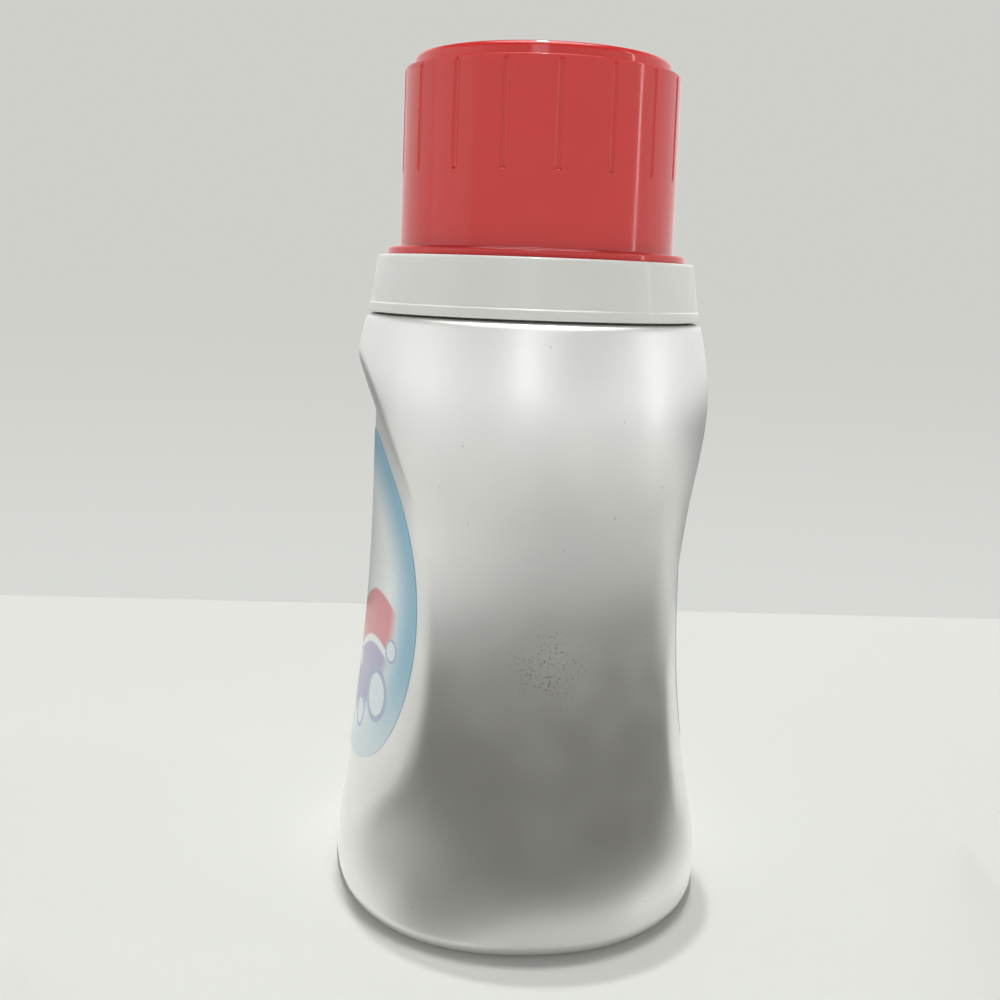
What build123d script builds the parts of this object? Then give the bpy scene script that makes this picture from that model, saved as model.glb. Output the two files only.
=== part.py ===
from build123d import *
import math
import os

# A laundry detergent bottle with a clip-on pouring collar and a screw-in dosing cap.
# Sizes in millimetres. X runs across the label, Y from front to back with the front label
# facing -Y, and Z up from the surface that the bottle stands on.

# Bottle body. The foot sets its half width (X) and half depth (Y), and each section above it
# is drawn in from the foot by its own amounts. A squareness of 2 is an ellipse, and a larger
# one is squarer. The front half of a section is squarer than its back half.
foot_height = 14.0
foot_half_width = 56.4
foot_half_depth = 46.9
base_squareness = 2.45
hip_height = 38.0
hip_side_draw = 4.2
hip_squareness = 2.25
waist_height = 68.0
waist_side_draw = 7.6
waist_front_draw = 3.9
waist_back_draw = 4.7
waist_squareness = 2.65
chest_height = 98.0
chest_side_draw = 8.4
chest_front_draw = 5.7
chest_squareness = 2.3
shoulder_height = 126.0
shoulder_side_draw = 9.2
shoulder_front_draw = 2.4
deck_height = 143.6
deck_ledge = 4.0
round_squareness = 2.0
body_wall = 1.2
base_wall = 1.6
base_edge_radius = 3.0
deck_edge_radius = 1.6
crease_radius = 2.4
push_up_depth = 1.6
standing_ring_width = 7.0

# Label panels: how far the middle of a panel lies inside the foot, going up. The flat ramp
# above a panel leads out to the shoulder. The back has a lower ramp than the front.
panel_radius = 80.0
toe_height = 11.0
toe_flare = 3.0
panel_foot_height = 29.0
panel_middle_height = 68.0
panel_top_height = 104.0
front_foot_sink = 2.7
front_middle_sink = 6.6
front_top_sink = 7.8
front_ramp_height = 120.8
front_ramp_slope = 20.5
back_foot_sink = 3.9
back_middle_sink = 8.4
back_top_sink = 8.9
back_ramp_height = 100.3
back_ramp_slope = 15.0
ramp_valley_radius = 4.0

# Labels: thin printed films on the panels
label_thickness = 0.12
label_gap = 0.06
front_label_top_height = 115.0
front_label_shoulder_height = 103.0
front_label_shoulder_half_width = 25.0
front_label_widest_height = 67.0
front_label_half_width = 37.0
front_label_heel_height = 41.0
front_label_heel_half_width = 28.0
front_label_bottom_height = 32.0
back_label_top_height = 94.0
back_label_shoulder_height = 86.0
back_label_shoulder_half_width = 19.0
back_label_widest_height = 62.0
back_label_half_width = 27.0
back_label_heel_height = 41.0
back_label_heel_half_width = 20.0
back_label_bottom_height = 34.0

# Neck of the bottle, under the collar
neck_radius = 37.8
neck_wall = 1.3
neck_height = 12.2
neck_bead_height = 1.4
neck_bead_depth = 0.9
neck_bead_drop = 7.0

# Pouring collar: skirt over the neck, plug in the neck, drain floor and spout
collar_gap = 0.5
collar_deck_thickness = 2.2
collar_top_radius = 39.3
collar_bottom_radius = 41.2
collar_skirt_wall = 1.2
collar_rim_step = 0.3
collar_rim_height = 2.5
collar_edge_radius = 1.0
neck_clearance = 0.2
snap_clearance = 0.25
snap_bead_height = 1.3
plug_wall = 1.2
plug_depth = 19.0
floor_thickness = 1.3
floor_slope = 4.0
spout_radius = 19.0
spout_wall = 1.1
spout_rise = 16.0
spout_slant = 20.0
drain_slot_width = 7.0

# Dosing cap: a measuring cup upside down, whose skirt screws into the plug
thread_room = 1.2
cap_wall = 1.3
cap_skirt_length = 12.5
cap_flange_radius = 37.1
cap_flange_thickness = 1.9
cap_lower_radius = 34.0
cap_upper_radius = 33.7
cap_wall_height = 42.3
cap_foot_radius = 31.3
cap_foot_height = 3.3
cap_foot_edge_radius = 2.2
cap_foot_draft = 0.4
cap_dish_radius = 23.0
cap_dish_depth = 1.3
cap_flange_round = 0.8
cap_small_round = 0.3
cap_inner_round = 1.0
cap_flange_valley = 0.5
grip_groove_count = 17
grip_groove_radius = 1.2
grip_groove_depth = 0.4
grip_groove_start = 1.5
grip_groove_end = 24.1
grip_groove_turn = -2.7

# How a level section is drawn, and how closely an edge is matched when it is picked out
section_points = 32
look_tolerance = 0.05

# Heights that follow from the sizes above
neck_top = deck_height + neck_height
collar_bottom = deck_height + collar_gap
collar_top = neck_top + collar_deck_thickness
cap_rim_height = collar_top + cap_wall_height + cap_flange_thickness
deck_radius = neck_radius + deck_ledge
neck_bore = neck_radius - neck_wall
plug_radius = neck_bore - neck_clearance
plug_bore = plug_radius - plug_wall
cap_skirt_radius = plug_bore - thread_room

# The two panels and the two label outlines, from the sizes above
front_panel = {
    "side": -1, "ramp_height": front_ramp_height, "ramp_slope": front_ramp_slope,
    "foot_depth": foot_half_depth - front_foot_sink,
    "middle_depth": foot_half_depth - front_middle_sink,
    "top_depth": foot_half_depth - front_top_sink,
}
back_panel = {
    "side": 1, "ramp_height": back_ramp_height, "ramp_slope": back_ramp_slope,
    "foot_depth": foot_half_depth - back_foot_sink,
    "middle_depth": foot_half_depth - back_middle_sink,
    "top_depth": foot_half_depth - back_top_sink,
}
front_label_outline = [
    (0, front_label_top_height),
    (front_label_shoulder_half_width, front_label_shoulder_height),
    (front_label_half_width, front_label_widest_height),
    (front_label_heel_half_width, front_label_heel_height),
    (0, front_label_bottom_height),
]
back_label_outline = [
    (0, back_label_top_height),
    (back_label_shoulder_half_width, back_label_shoulder_height),
    (back_label_half_width, back_label_widest_height),
    (back_label_heel_half_width, back_label_heel_height),
    (0, back_label_bottom_height),
]


def level_section(height, half_width, front_depth, back_depth, squareness):
    """Closed level face of the body, with a squarish front half and a round back half."""
    points = []
    for step in range(section_points):
        angle = 2 * math.pi * (step + 0.5) / section_points
        across, along = math.cos(angle), math.sin(angle)
        depth, power = (back_depth, 1) if along > 0 else (front_depth, 2 / squareness)
        x = half_width * math.copysign(abs(across) ** power, across)
        y = depth * math.copysign(abs(along) ** power, along)
        points.append((x, y, height))
    return make_face(Spline(*points, periodic=True))


def body_loft(inset, bottom, top):
    """Smooth body without its panels, moved inward by inset, from bottom to top."""
    wide, deep = foot_half_width - inset, foot_half_depth - inset
    neck_end = deck_radius - inset
    waist_depths = (deep - waist_front_draw, deep - waist_back_draw)
    chest_depth = deep - chest_front_draw
    shoulder_depth = deep - shoulder_front_draw
    sections = [
        (bottom, wide, deep, deep, base_squareness),
        (foot_height, wide, deep, deep, round_squareness),
        (hip_height, wide - hip_side_draw, deep, deep, hip_squareness),
        (waist_height, wide - waist_side_draw, *waist_depths, waist_squareness),
        (chest_height, wide - chest_side_draw, chest_depth, chest_depth, chest_squareness),
        (shoulder_height, wide - shoulder_side_draw, shoulder_depth, shoulder_depth, round_squareness),
        (top, neck_end, neck_end, neck_end, round_squareness),
    ]
    return loft([level_section(*section) for section in sections])


def panel_drum(panel, offset):
    """Large round body whose surface is the panel, moved outward by offset."""
    axis_depth = panel["middle_depth"] - panel_radius
    crown = [
        (foot_half_depth + toe_flare, -base_wall),
        (foot_half_depth, toe_height),
        (panel["foot_depth"], panel_foot_height),
        (panel["middle_depth"], panel_middle_height),
        (panel["top_depth"], panel_top_height),
        (panel["top_depth"], deck_height + base_wall),
    ]
    outline = [(depth - axis_depth + offset, 0, height) for depth, height in crown]
    low, high = outline[0][2], outline[-1][2]
    line = Spline(*outline)
    closing = Polyline(outline[-1], (0, 0, high), (0, 0, low), outline[0])
    drum = revolve(make_face([line, closing]), Axis.Z)
    return Pos(0, panel["side"] * axis_depth, 0) * drum


def panel_cutter(panel, offset):
    """Block in front of a panel and of the flat ramp above it, to be cut off the body."""
    side = panel["side"]
    reach = 2 * foot_half_width
    rise = deck_height + base_wall / 2
    block = Pos(0, side * reach / 2, 0) * Box(
        2 * reach, reach, rise, align=(Align.CENTER, Align.CENTER, Align.MIN)
    )
    block = block - panel_drum(panel, offset)
    slope = math.radians(panel["ramp_slope"])
    valley = (0, side * (panel["top_depth"] + offset), panel["ramp_height"])
    ramp = Plane(origin=valley, z_dir=(0, side * math.cos(slope), -math.sin(slope)))
    cutter = split(block, bisect_by=ramp, keep=Keep.TOP)
    corners = [edge for edge in cutter.edges() if is_valley(edge, panel["ramp_height"])]
    return fillet(corners, ramp_valley_radius)


def is_valley(edge, height):
    """Whether an edge of a panel cutter is the curved valley between the panel and its ramp."""
    level = edge.bounding_box().size.Z < look_tolerance
    return abs(edge.position_at(0.5).Z - height) < ramp_valley_radius and not level


def body_form(inset, bottom, top):
    """Body with both panels cut, moved inward by inset."""
    form = body_loft(inset, bottom, top)
    form = form - panel_cutter(front_panel, -inset)
    return form - panel_cutter(back_panel, -inset)


def crease_edges(form):
    """Edges of the body's round side where the panels cut it."""
    side = form.faces().sort_by(SortBy.AREA)[-1]
    edges = []
    for edge in side.edges():
        rises = edge.bounding_box().size.Z > look_tolerance
        if rises and abs(edge.center().Y) > foot_half_depth / 2:
            edges.append(edge)
    return edges


def level_edges(solid, height):
    """Edges that lie flat at one height."""
    edges = []
    for edge in solid.edges():
        box = edge.bounding_box()
        if abs(box.min.Z - height) < look_tolerance and abs(box.max.Z - height) < look_tolerance:
            edges.append(edge)
    return edges


def base_oval(inset, height, amount):
    """Upright oval block following the base, moved inward by inset."""
    oval = Ellipse(foot_half_width - inset, foot_half_depth - inset)
    return extrude(Pos(0, 0, height) * oval, amount=amount)


def make_bottle():
    """Blown body with its hollow, pushed-up base and open neck."""
    outer = body_form(0, 0, deck_height)
    outer = fillet(crease_edges(outer), crease_radius)
    outer = fillet(level_edges(outer, 0), base_edge_radius)
    outer = fillet(level_edges(outer, deck_height), deck_edge_radius)
    outer = outer - base_oval(standing_ring_width, 0, push_up_depth)
    outer = outer + Pos(0, 0, deck_height - body_wall / 2) * Cylinder(
        neck_radius, neck_height + body_wall / 2, align=(Align.CENTER, Align.CENTER, Align.MIN)
    )
    bead_middle = neck_top - neck_bead_drop - neck_bead_height / 2
    outer = outer + Pos(0, 0, bead_middle) * Cylinder(neck_radius + neck_bead_depth, neck_bead_height)
    hollow = body_form(body_wall, base_wall, deck_height - body_wall)
    hollow = hollow - base_oval(standing_ring_width - body_wall, 0, push_up_depth + base_wall)
    mouth = Pos(0, 0, deck_height - 2 * body_wall) * Cylinder(
        neck_bore, neck_height + 3 * body_wall, align=(Align.CENTER, Align.CENTER, Align.MIN)
    )
    return outer - hollow - mouth


def skirt_radius_at(height):
    """Outer radius of the drafted collar skirt at a height."""
    share = (collar_top - height) / (collar_top - collar_bottom)
    return collar_top_radius + share * (collar_bottom_radius - collar_top_radius)


def make_collar_ring():
    """Skirt, deck and plug of the collar as one turned form."""
    bead_top = neck_top - neck_bead_drop - neck_bead_height - neck_clearance
    bead_low = bead_top - snap_bead_height
    bead_radius = neck_radius + snap_clearance
    rim_top = collar_bottom + collar_rim_height
    plug_bottom = collar_top - plug_depth
    outline = [
        (plug_bore, collar_top),
        (collar_top_radius, collar_top),
        (skirt_radius_at(rim_top), rim_top),
        (skirt_radius_at(rim_top) + collar_rim_step, rim_top - collar_rim_step),
        (collar_bottom_radius + collar_rim_step, collar_bottom),
        (collar_bottom_radius - collar_skirt_wall, collar_bottom),
        (skirt_radius_at(bead_low) - collar_skirt_wall, bead_low),
        (bead_radius, (bead_low + bead_top) / 2),
        (bead_radius, bead_top),
        (skirt_radius_at(bead_top) - collar_skirt_wall, bead_top),
        (skirt_radius_at(neck_top) - collar_skirt_wall, neck_top),
        (plug_radius, neck_top),
        (plug_radius, plug_bottom),
        (plug_bore, plug_bottom),
    ]
    face = make_face(Polyline(*[(radius, 0, height) for radius, height in outline], close=True))
    ring = revolve(face, Axis.Z)
    deck_edges = [edge for edge in level_edges(ring, collar_top) if edge.length > 2 * math.pi * neck_radius]
    return fillet(deck_edges, collar_edge_radius)


def floor_plane(lift):
    """Sloping plane of the drain floor, lifted from its middle."""
    fall = plug_bore * math.tan(math.radians(floor_slope))
    middle = collar_top - plug_depth + fall + floor_thickness / 2
    slope = math.radians(floor_slope)
    return Plane(origin=(0, 0, middle + lift), z_dir=(math.sin(slope), 0, math.cos(slope)))


def make_pour_collar():
    """Collar ring with its sloping drain floor and slanted pouring spout."""
    collar = make_collar_ring()
    blank = Pos(0, 0, collar_top - plug_depth) * Cylinder(plug_bore + plug_wall / 2, 2 * plug_depth)
    floor = split(blank, bisect_by=floor_plane(floor_thickness / 2), keep=Keep.BOTTOM)
    floor = split(floor, bisect_by=floor_plane(-floor_thickness / 2), keep=Keep.TOP)
    tube = Pos(0, 0, collar_top) * Cylinder(spout_radius, 4 * spout_rise)
    tube = split(tube, bisect_by=floor_plane(0), keep=Keep.TOP)
    slant = math.radians(spout_slant)
    lip = Plane(
        origin=(-spout_radius, 0, collar_top + spout_rise),
        z_dir=(math.sin(slant), 0, math.cos(slant)),
    )
    tube = split(tube, bisect_by=lip, keep=Keep.BOTTOM)
    collar = collar + floor + tube
    collar = collar - Pos(0, 0, collar_top) * Cylinder(spout_radius - spout_wall, 6 * spout_rise)
    slot_bottom = collar_top - plug_depth + floor_thickness
    slot = Pos(spout_radius - spout_wall / 2, 0, slot_bottom) * Box(
        2 * spout_wall, drain_slot_width, 3 * spout_rise, align=(Align.CENTER, Align.CENTER, Align.MIN)
    )
    return collar - slot


def cap_radius_at(height):
    """Outer radius of the drafted cup wall at a height."""
    share = (cap_rim_height - height) / cap_wall_height
    return cap_upper_radius + share * (cap_lower_radius - cap_upper_radius)


def make_cap_shell():
    """Cup, flange and screw skirt as one turned form, open at the bottom."""
    flange_top = collar_top + cap_flange_thickness
    skirt_bottom = collar_top - cap_skirt_length
    foot_top = cap_rim_height + cap_foot_height
    dish = foot_top - cap_dish_depth
    small, inner = cap_small_round, cap_inner_round
    corners = [
        (cap_dish_radius - cap_dish_depth, dish, inner),
        (cap_dish_radius, foot_top, inner),
        (cap_foot_radius, foot_top, cap_foot_edge_radius),
        (cap_foot_radius + cap_foot_draft, cap_rim_height, small),
        (cap_upper_radius, cap_rim_height, small),
        (cap_lower_radius, flange_top, cap_flange_valley),
        (cap_flange_radius, flange_top, cap_flange_round),
        (cap_flange_radius, collar_top, small),
        (cap_skirt_radius, collar_top, small),
        (cap_skirt_radius, skirt_bottom, small),
        (cap_skirt_radius - cap_wall, skirt_bottom, small),
        (cap_upper_radius - cap_wall, cap_rim_height - cap_wall, inner),
        (cap_foot_radius - cap_wall, dish - cap_wall, inner),
    ]
    points = [(0, 0, dish)] + [(r, 0, z) for r, z, _ in corners] + [(0, 0, dish - cap_wall)]
    outline = FilletPolyline(*points, radius=[radius for _, _, radius in corners])
    return revolve(make_face([outline, Line(points[-1], points[0])]), Axis.Z)


def make_dosing_cap():
    """Cap shell with its shallow upright grip grooves, which start below the rim and end round."""
    cap = make_cap_shell()
    groove_top = cap_rim_height - grip_groove_start
    groove_bottom = cap_rim_height - grip_groove_end
    stand_off = grip_groove_radius - grip_groove_depth
    low = Vector(cap_radius_at(groove_bottom) + stand_off, 0, groove_bottom)
    high = Vector(cap_radius_at(groove_top) + stand_off, 0, groove_top)
    path = Plane(origin=low, z_dir=high - low)
    bar = path * Cylinder(
        grip_groove_radius, (high - low).length, align=(Align.CENTER, Align.CENTER, Align.MIN)
    )
    groove = bar + Pos(*low) * Sphere(grip_groove_radius) + Pos(*high) * Sphere(grip_groove_radius)
    grooves = []
    for index in range(grip_groove_count):
        grooves.append(Rot(0, 0, grip_groove_turn + index * 360 / grip_groove_count) * groove)
    return cap - grooves


def make_label(panel, outline):
    """Thin film on a panel, inside an outline whose right half is given from top to bottom."""
    skin = panel_drum(panel, label_gap + label_thickness) - panel_drum(panel, label_gap)
    left = [(-x, z) for x, z in reversed(outline[1:-1])]
    face = make_face(Spline(*[(x, 0, z) for x, z in outline + left], periodic=True))
    return skin & extrude(face, amount=2 * foot_half_depth, dir=(0, panel["side"], 0))


def main():
    os.makedirs("parts", exist_ok=True)
    nodes = {
        "bottle": make_bottle(),
        "pour_collar": make_pour_collar(),
        "dosing_cap": make_dosing_cap(),
        "front_label": make_label(front_panel, front_label_outline),
        "back_label": make_label(back_panel, back_label_outline),
    }
    for name, shape in nodes.items():
        export_step(shape, f"parts/{name}.step")
    hollow = body_form(body_wall, base_wall, deck_height - body_wall).volume
    print("room inside the body, in millilitres:", round(hollow / 1000))


main()
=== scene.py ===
import math

import bpy
from mathutils import Matrix, Vector


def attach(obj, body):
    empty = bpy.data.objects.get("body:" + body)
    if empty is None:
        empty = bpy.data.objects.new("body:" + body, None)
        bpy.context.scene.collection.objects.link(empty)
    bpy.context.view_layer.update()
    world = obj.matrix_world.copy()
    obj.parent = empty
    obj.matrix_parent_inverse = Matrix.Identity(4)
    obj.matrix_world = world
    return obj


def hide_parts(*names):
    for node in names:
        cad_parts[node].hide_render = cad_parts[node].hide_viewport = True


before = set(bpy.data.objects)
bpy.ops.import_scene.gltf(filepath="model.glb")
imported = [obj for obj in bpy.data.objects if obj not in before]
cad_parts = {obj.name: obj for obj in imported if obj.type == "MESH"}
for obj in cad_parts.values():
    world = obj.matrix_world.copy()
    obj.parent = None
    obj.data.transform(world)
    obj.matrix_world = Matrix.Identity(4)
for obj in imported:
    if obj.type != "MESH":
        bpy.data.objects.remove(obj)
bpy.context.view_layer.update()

mm = 0.001


# Tools for curves, turned forms and meshes. Sizes are in millimetres until a mesh is made.

def smoothLine(knots):
    # a smooth line through knots of (place, value), as a function of the place
    places = [knot[0] for knot in knots]
    values = [knot[1] for knot in knots]
    count = len(knots)
    steps = [places[i + 1] - places[i] for i in range(count - 1)]
    bends = [0.0] * count  # second derivatives, zero at both ends
    upper = [0.0] * count
    right = [0.0] * count
    for i in range(1, count - 1):
        after = (values[i + 1] - values[i]) / steps[i]
        before = (values[i] - values[i - 1]) / steps[i - 1]
        pivot = 2 * (steps[i] + steps[i - 1]) - steps[i - 1] * upper[i - 1]
        upper[i] = steps[i] / pivot
        right[i] = (6 * (after - before) - steps[i - 1] * right[i - 1]) / pivot
    for i in range(count - 2, 0, -1):
        bends[i] = right[i] - upper[i] * bends[i + 1]

    def at(place):
        i = 0
        while i < count - 2 and place > places[i + 1]:
            i += 1
        step = steps[i]
        low = (places[i + 1] - place) / step
        high = (place - places[i]) / step
        curve = (low ** 3 - low) * bends[i] + (high ** 3 - high) * bends[i + 1]
        return low * values[i] + high * values[i + 1] + curve * step * step / 6
    return at


def softMin(a, b, width):
    # the smaller of two, with the corner between them eased over a width
    lap = max(width - abs(a - b), 0) / width
    return min(a, b) - lap * lap * width / 4


def roundedLine(corners, steps=5):
    # corners are (radius from the axis, height, rounding) and the line keeps their order
    legShare = 0.48  # the most of a leg that one rounding takes
    line = []
    last = len(corners) - 1
    for i, (r, z, rounding) in enumerate(corners):
        if rounding <= 0 or i in (0, last):
            line.append((r, z))
            continue
        here = Vector((r, z))
        behind = Vector(corners[i - 1][:2]) - here
        ahead = Vector(corners[i + 1][:2]) - here
        corner = behind.angle(ahead)
        cut = min(rounding / math.tan(corner / 2), behind.length * legShare, ahead.length * legShare)
        start = here + behind.normalized() * cut
        end = here + ahead.normalized() * cut
        for step in range(steps + 1):
            t = step / steps
            line.append(tuple((1 - t) ** 2 * start + 2 * t * (1 - t) * here + t * t * end))
    return line


def evenAngles(count, extra=()):
    angles = [2 * math.pi * i / count for i in range(count)]
    return sorted(set(angles) | set(a % (2 * math.pi) for a in extra))


def meshObject(name, points, faces, smooth=True):
    mesh = bpy.data.meshes.new(name)
    mesh.from_pydata([tuple(c * mm for c in point) for point in points], [], faces)
    mesh.validate()
    mesh.update()
    for polygon in mesh.polygons:
        polygon.use_smooth = smooth
    thing = bpy.data.objects.new(name, mesh)
    bpy.context.scene.collection.objects.link(thing)
    return thing


def ringFaces(rows, columns, closeRows=False):
    faces = []
    for row in range(rows if closeRows else rows - 1):
        below = row * columns
        above = (row + 1) % rows * columns
        for column in range(columns):
            beside = (column + 1) % columns
            faces.append((below + column, below + beside, above + beside, above + column))
    return faces


def turned(name, line, angles, place, crease, closed=False):
    # each point of the line goes round the axis, and place gives its radius and height at an angle
    points = []
    for entry in line:
        for angle in angles:
            r, z = place(entry, angle)
            points.append((r * math.cos(angle), r * math.sin(angle), z))
    thing = meshObject(name, points, ringFaces(len(line), len(angles), closed))
    sharpen(thing, crease)
    return thing


def sharpen(thing, degrees):
    # edges sharper than this keep a crisp shade
    bpy.context.view_layer.objects.active = thing
    thing.select_set(True)
    bpy.ops.object.shade_smooth_by_angle(angle=math.radians(degrees))
    thing.select_set(False)


# The body: the same sections, panels and ramp as the solid, as one fine skin with its hollow.

body = {
    "footHalfWidth": 56.4, "footHalfDepth": 46.9,
    # height, side draw, front draw, back draw, squareness of the front half
    "sections": [(0, 0, 0, 0, 2.45), (14, 0, 0, 0, 2.0), (38, 4.2, 0, 0, 2.25), (68, 7.6, 3.9, 4.7, 2.65),
                 (98, 8.4, 5.7, 5.7, 2.3), (126, 9.2, 2.4, 2.4, 2.0), (143.6, 14.6, 5.1, 5.1, 2.0)],
    "panelRadius": 80.0, "panelStart": 0.05, "valleySoftness": 0.5, "creaseSoftness": 1.1,
    "deckHeight": 143.6, "deckEdge": 1.6, "deckEdgeSteps": 5, "baseEdge": 3.0, "baseEdgeSteps": 6,
    "wall": 1.2, "baseWall": 1.6, "pushUp": 1.6, "ringWidth": 7.0,
    # rows of the base: shares of its oval when pushed up, then (share, rise) where it comes down
    "ovalShares": (0.04, 0.3, 0.6, 0.85, 0.96), "ovalEdge": ((1.0, 0.85), (1.02, 0.15), (1.03, 0.0)),
    "footFlat": 1.4,
    # the neck's outside: (beyond its radius, height from the deck), then the same from its bead
    "neckFoot": ((1.5, 0), (0.3, 0.1), (0, 0.6)),
    "neckBead": ((0, -0.8), (0.8, -0.5), (0.85, 0.3), (0, 0.8)),
    "neckRadius": 37.8, "neckWall": 1.3, "neckTop": 155.8, "beadDrop": 7.7, "boreDrop": 1.5,
    "lipOutside": 0.4, "lipInside": 0.3,
    # the inside of the base: (beyond the wall, height above the base wall), then shares of the oval
    "innerFoot": ((1.0, 0.6), (3.0, 0)), "innerEdge": (1.03, 0.2), "innerShares": (0.9, 0.5, 0.04),
    "innerLow": 6, "innerStep": 5, "columns": 480, "rowStep": 0.8, "crease": 50,
}
frontSide, backSide = -1, 1
# how far the middle of a panel lies inside the foot, going up, and where its ramp starts
panels = {
    frontSide: {"crown": [(-1.6, -3.0), (11, 0.0), (29, 2.7), (68, 6.6), (104, 7.8), (145.2, 7.8)],
                "middleSink": 6.6, "topSink": 7.8, "rampHeight": 120.8, "rampSlope": 20.5},
    backSide: {"crown": [(-1.6, -3.0), (11, 0.0), (29, 3.9), (68, 8.4), (104, 8.9), (145.2, 8.9)],
               "middleSink": 8.4, "topSink": 8.9, "rampHeight": 100.3, "rampSlope": 15.0},
}
sideDraw, frontDraw, backDraw, squareness = (
    smoothLine([(row[0], row[column]) for row in body["sections"]]) for column in (1, 2, 3, 4))
crownSink = {side: smoothLine(panel["crown"]) for side, panel in panels.items()}


def panelDrum(side, z):
    # a panel is part of a drum: where its axis lies, and its radius at a height
    axis = body["footHalfDepth"] - panels[side]["middleSink"] - body["panelRadius"]
    return axis, body["footHalfDepth"] - crownSink[side](z) - axis


def panelSurface(side, x, z, lift):
    # depth of the panel from the bottle's axis, at a place across it
    axis, radius = panelDrum(side, z)
    radius += lift
    return axis + math.sqrt(max(radius * radius - x * x, 0))


def panelReach(side, angle, z):
    toward = math.sin(angle) * side
    if toward < body["panelStart"]:
        return math.inf
    panel = panels[side]
    axis, radius = panelDrum(side, z)
    across = math.cos(angle) * axis
    drum = axis * toward + math.sqrt(max(radius * radius - across * across, 0))
    slope = math.tan(math.radians(panel["rampSlope"]))
    ramp = body["footHalfDepth"] - panel["topSink"] + (z - panel["rampHeight"]) * slope
    return -softMin(-drum, -ramp / toward, body["valleySoftness"])


def bodyReach(angle, z):
    wide = body["footHalfWidth"] - sideDraw(z)
    isBack = math.sin(angle) > 0
    deep = body["footHalfDepth"] - (backDraw(z) if isBack else frontDraw(z))
    power = 2 if isBack else squareness(z)
    reach = (abs(math.cos(angle) / wide) ** power + abs(math.sin(angle) / deep) ** power) ** (-1 / power)
    for side in panels:
        reach = softMin(reach, panelReach(side, angle, z), body["creaseSoftness"])
    return reach


def bodyRows():
    # (kind, value, height) from the middle of the base up the outside, then down the inside
    wall, baseWall, pushUp = body["wall"], body["baseWall"], body["pushUp"]
    edge, steps = body["baseEdge"], body["baseEdgeSteps"]
    rows = [("oval", share, pushUp) for share in body["ovalShares"]]
    rows += [("oval", share, pushUp * rise) for share, rise in body["ovalEdge"]]
    rows.append(("skin", edge * body["footFlat"], 0.0))
    for step in range(steps + 1):
        turn = math.pi / 2 * step / steps
        rows.append(("skin", edge * (1 - math.sin(turn)), edge * (1 - math.cos(turn))))
    deck = body["deckHeight"]
    top = deck - body["deckEdge"]
    count = int((top - edge) / body["rowStep"])
    for step in range(1, count + 1):
        rows.append(("skin", 0.0, edge + (top - edge) * step / count))
    edge, steps = body["deckEdge"], body["deckEdgeSteps"]
    for step in range(1, steps + 1):
        turn = math.pi / 2 * step / steps
        rows.append(("skin", edge * (1 - math.cos(turn)), top + edge * math.sin(turn)))
    neck, neckTop = body["neckRadius"], body["neckTop"]
    bead, bore = neckTop - body["beadDrop"], neck - body["neckWall"]
    rows += [("round", neck + out, deck + up) for out, up in body["neckFoot"]]
    rows += [("round", neck + out, bead + up) for out, up in body["neckBead"]]
    rows += [("round", neck, neckTop - body["lipOutside"]), ("round", neck - body["lipOutside"], neckTop),
             ("round", bore + body["lipInside"], neckTop), ("round", bore, neckTop - body["lipInside"]),
             ("round", bore, deck - body["boreDrop"])]
    inner = deck - wall
    while inner > body["innerLow"]:
        inner -= body["innerStep"]
        rows.append(("skin", wall, inner))
    rows += [("skin", wall + out, baseWall + up) for out, up in body["innerFoot"]]
    share, up = body["innerEdge"]
    rows.append(("oval", share, baseWall + up))
    rows += [("oval", share, pushUp + baseWall) for share in body["innerShares"]]
    return rows


def makeBody():
    rows, columns = bodyRows(), body["columns"]
    ovalWide = body["footHalfWidth"] - body["ringWidth"]
    ovalDeep = body["footHalfDepth"] - body["ringWidth"]
    points = []
    for kind, value, z in rows:
        for column in range(columns):
            angle = 2 * math.pi * column / columns
            c, s = math.cos(angle), math.sin(angle)
            if kind == "oval":
                reach = value / math.sqrt((c / ovalWide) ** 2 + (s / ovalDeep) ** 2)
            elif kind == "round":
                reach = value
            else:
                reach = bodyReach(angle, z) - value
            points.append((reach * c, reach * s, z))
    faces = ringFaces(len(rows), columns)
    faces.append(tuple(reversed(range(columns))))
    last = (len(rows) - 1) * columns
    faces.append(tuple(last + column for column in range(columns)))
    skin = meshObject("bottleSkin", points, faces)
    sharpen(skin, body["crease"])
    return skin


bottleSkin = makeBody()
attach(bottleSkin, "bottle")
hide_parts("bottle")
print("body skin made:", len(bottleSkin.data.vertices), "points")


# Labels: thin films that follow the panels, with a hair of thickness at their edge.

label = {
    # right half of each outline, from top to bottom
    "outlines": {frontSide: [(0, 115), (25, 103), (37, 67), (28, 41), (0, 32)],
                 backSide: [(0, 94), (19, 86), (27, 62), (20, 41), (0, 34)]},
    "middles": {frontSide: 73, backSide: 64},
    "lift": 0.16, "sunk": -0.05,
    "columns": 240, "rings": 40, "crease": 50,
}


def closedLine(points):
    # smooth closed line through the points, as a function of a share from 0 to 1
    loop = points * 3 + [points[0]]
    lengths = [0.0]
    for a, b in zip(loop, loop[1:]):
        lengths.append(lengths[-1] + math.dist(a, b))
    x = smoothLine([(length, p[0]) for length, p in zip(lengths, loop)])
    z = smoothLine([(length, p[1]) for length, p in zip(lengths, loop)])
    start, end = lengths[len(points)], lengths[2 * len(points)]
    return lambda share: (x(start + share * (end - start)), z(start + share * (end - start)))


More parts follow.
